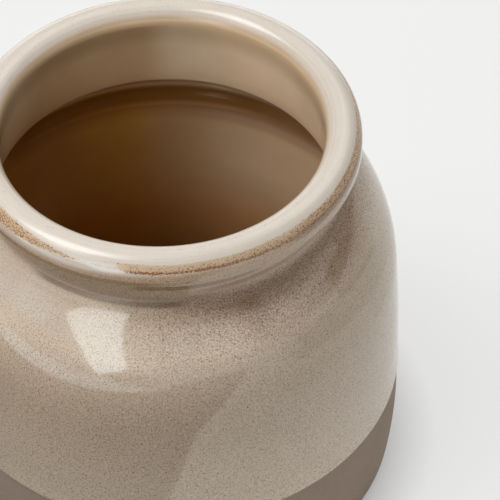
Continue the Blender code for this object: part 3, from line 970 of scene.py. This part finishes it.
# The camera, as it was fitted to the photograph, turned up from looking straight down
CAMERA_PLACE = (23.124 * MM, -644.709 * MM, 736.156 * MM)
CAMERA_TURN = math.pi / 2 - 0.79816388
CAMERA_ROLL = math.radians(-1.0)
SENSOR_WIDTH, FOCAL_LENGTH = 36.0, 238.2


def softbox(name, width, height, radiance, azimuth, elevation, distance):
    """A rectangular lamp seen at a compass turn and height from the jar, facing it."""
    lamp = bpy.data.lights.new(name, "AREA")
    lamp.shape = "RECTANGLE"
    lamp.size, lamp.size_y = width, height
    lamp.energy = radiance * width * height * WATTS_PER_RADIANCE
    turn, rise = math.radians(azimuth), math.radians(elevation)
    away = Vector((
        math.cos(turn) * math.cos(rise), math.sin(turn) * math.cos(rise), math.sin(rise)))
    holder = shown(name, lamp)
    holder.matrix_world = (
        Matrix.Translation(MIDDLE + distance * away)
        @ away.to_track_quat("Z", "Y").to_matrix().to_4x4()
    )
    holder.visible_camera = False
    return holder


def sheet(name, corners, material):
    """A flat sheet of the studio through its corners."""
    work = bmesh.new()
    verts = [work.verts.new(corner) for corner in corners]
    bmesh.ops.contextual_create(work, geom=verts)
    piece = meshed(name, work, [material])
    return piece


def in_plane(faces, across, away, height):
    """A point from millimetres across a direction, away from the jar along it, and up."""
    facing = Vector((math.cos(faces), math.sin(faces), 0.0))
    along = Vector((-facing.y, facing.x, 0.0))
    return away * MM * facing + across * MM * along + Vector((0.0, 0.0, height * MM))


def upright(outline, away=PATCH_AWAY):
    """Corners in the plane of the scrim, from their places along it and heights."""
    return [in_plane(SCRIM_FACES, across, away, height) for across, height in outline]


def glowing(name, level, colour=(1.0, 1.0, 1.0)):
    """A diffusing cloth that shines evenly at a level."""
    material, add, shader = new_material(name)
    material.node_tree.nodes.remove(shader)
    glow = add("Emission", {"Color": shade(colour), "Strength": level})
    link(glow, material.node_tree.nodes["Material Output"].inputs["Surface"])
    return material


def matt(name, colour):
    """Matt paper or card of a colour, as a new material's three parts."""
    material, add, shader = new_material(name)
    shader.inputs["Base Color"].default_value = shade(colour)
    shader.inputs["Roughness"].default_value = 0.9
    shader.inputs["Specular IOR Level"].default_value = 0.1
    return material, add, shader


def paper_floor(levels):
    """White paper that keeps the jar's shadow, with a glow to the eye and in the glaze."""
    material, add, shader = matt("white_paper", levels.paper)
    # The glow is dimmed close to the foot, where the paper meets the jar: a painted contact
    # shadow.
    open_sky = add("AmbientOcclusion", {"Distance": 15.0 * MM}, samples=12)
    near = add("MapRange", {0: open_sky.outputs["AO"], 3: 0.3})
    shine = add("Emission", {0: shade(levels.paper), "Strength": near})
    ray = add("LightPath")
    seen = add("Math MAXIMUM", {0: ray.outputs["Is Camera Ray"], 1: ray.outputs["Is Glossy Ray"]})
    seen = add("Math MAXIMUM", {0: seen, 1: ray.outputs["Is Transmission Ray"]})
    share = add("Math MULTIPLY", {0: seen, 1: levels.glow})
    both = add("MixShader", {0: share, 1: shader, 2: shine})
    link(both, material.node_tree.nodes["Material Output"].inputs["Surface"])
    return material


def dark_card(levels):
    """Card that the glaze mirrors as dark, and that throws back a little of the paper's light."""
    material, add, shader = matt("dark_card", levels.card)
    ray = add("LightPath")
    colour = add("Mix", {
        0: ray.outputs["Is Diffuse Ray"], 6: shade(levels.card),
        7: shade(levels.paper, CARD_BOUNCE)}, **COLOURS)
    link(colour, shader.inputs["Base Color"])
    return material


class JAR_OT_studio(bpy.types.Operator):
    """Plain pale floor, soft lamps, pale room and the camera at the photograph's angle"""

    bl_idname = "jar.studio"
    bl_label = "Studio"

    def execute(self, context):
        scene = context.scene
        levels = scene.jar_studio

        work = bmesh.new()
        bmesh.ops.create_circle(work, cap_ends=True, segments=96, radius=FLOOR_RADIUS)
        floor = meshed("paper_floor", work, [paper_floor(levels)])

        for name, size, direction, distance in LAMPS:
            lamp = softbox(name, *size, getattr(levels, name), *direction, distance)
            # The glaze doesn't mirror the overhead lamp.
            lamp.visible_glossy = name != "overhead"
        # The inner lamp lights the liner alone.
        lit = bpy.data.collections.new("lit_by_inner")
        lit.objects.link(bpy.data.objects["liner_coat"])
        bpy.data.objects["inner"].light_linking.receiver_collection = lit

        # The glaze mirrors scrim, patches and card; the camera doesn't see them.
        for name, outline in (("window", WINDOW), ("scrim_hem", SCRIM_HEM)):
            patch = sheet(name, upright(outline), glowing(name, getattr(levels, name), COOL_WHITE))
            patch.visible_diffuse = patch.visible_shadow = patch.visible_camera = False
        cloth = glowing("scrim_cloth", levels.scrim)
        scrim = sheet("scrim", upright(SCRIM, SCRIM_AWAY), cloth)
        scrim.visible_shadow = scrim.visible_camera = False
        flat = [in_plane(CARD_FACES, across, away, CARD_LIFT) for across, away in CARD]
        card = sheet("dark_card", flat, dark_card(levels))
        card.visible_shadow = card.visible_camera = False

        world = bpy.data.worlds.new("pale_room")
        world.use_nodes = True
        back = world.node_tree.nodes["Background"]
        back.inputs["Color"].default_value = (1.0, 1.0, 1.0, 1.0)
        back.inputs["Strength"].default_value = levels.room
        scene.world = world

        lens = bpy.data.cameras.new("camera")
        lens.sensor_width, lens.lens = SENSOR_WIDTH, FOCAL_LENGTH
        camera = shown("camera", lens)
        camera.matrix_world = (
            Matrix.Translation(CAMERA_PLACE) @ Matrix.Rotation(CAMERA_TURN, 4, "X")
            @ Matrix.Rotation(CAMERA_ROLL, 4, "Z")
        )
        scene.camera = camera
        scene.view_settings.view_transform = "Standard"
        return {"FINISHED"}


class JAR_PT_panel(bpy.types.Panel):
    """Lists the jar's sizes, colours, studio levels and operators"""

    bl_idname = "JAR_PT_panel"
    bl_label = "Stoneware jar"
    bl_space_type = "VIEW_3D"
    bl_region_type = "UI"
    bl_category = "Jar"

    def draw(self, context):
        for name, group in GROUPS.items():
            box = self.layout.box()
            box.label(text=name.removeprefix("jar_").title())
            for item in group.__annotations__:
                box.prop(getattr(context.scene, name), item)
        column = self.layout.column()
        for operator in OPERATORS:
            column.operator(operator.bl_idname)


OPERATORS = (
    JAR_OT_clay_body, JAR_OT_outer_coat, JAR_OT_rim_coat, JAR_OT_liner_coat, JAR_OT_studio,
)
GROUPS = {"jar_sizes": JarSizes, "jar_colours": JarColours, "jar_studio": StudioSettings}
CLASSES = (*GROUPS.values(), *OPERATORS, JAR_PT_panel)


def register():
    for item in CLASSES:
        bpy.utils.register_class(item)
    for name, group in GROUPS.items():
        setattr(bpy.types.Scene, name, PointerProperty(type=group))


def unregister():
    for name in GROUPS:
        delattr(bpy.types.Scene, name)
    for item in reversed(CLASSES):
        bpy.utils.unregister_class(item)


def main():
    register()
    bpy.ops.jar.clay_body()
    bpy.ops.jar.outer_coat()
    bpy.ops.jar.rim_coat()
    bpy.ops.jar.liner_coat()
    bpy.ops.jar.studio()


if __name__ == "__main__":
    main()
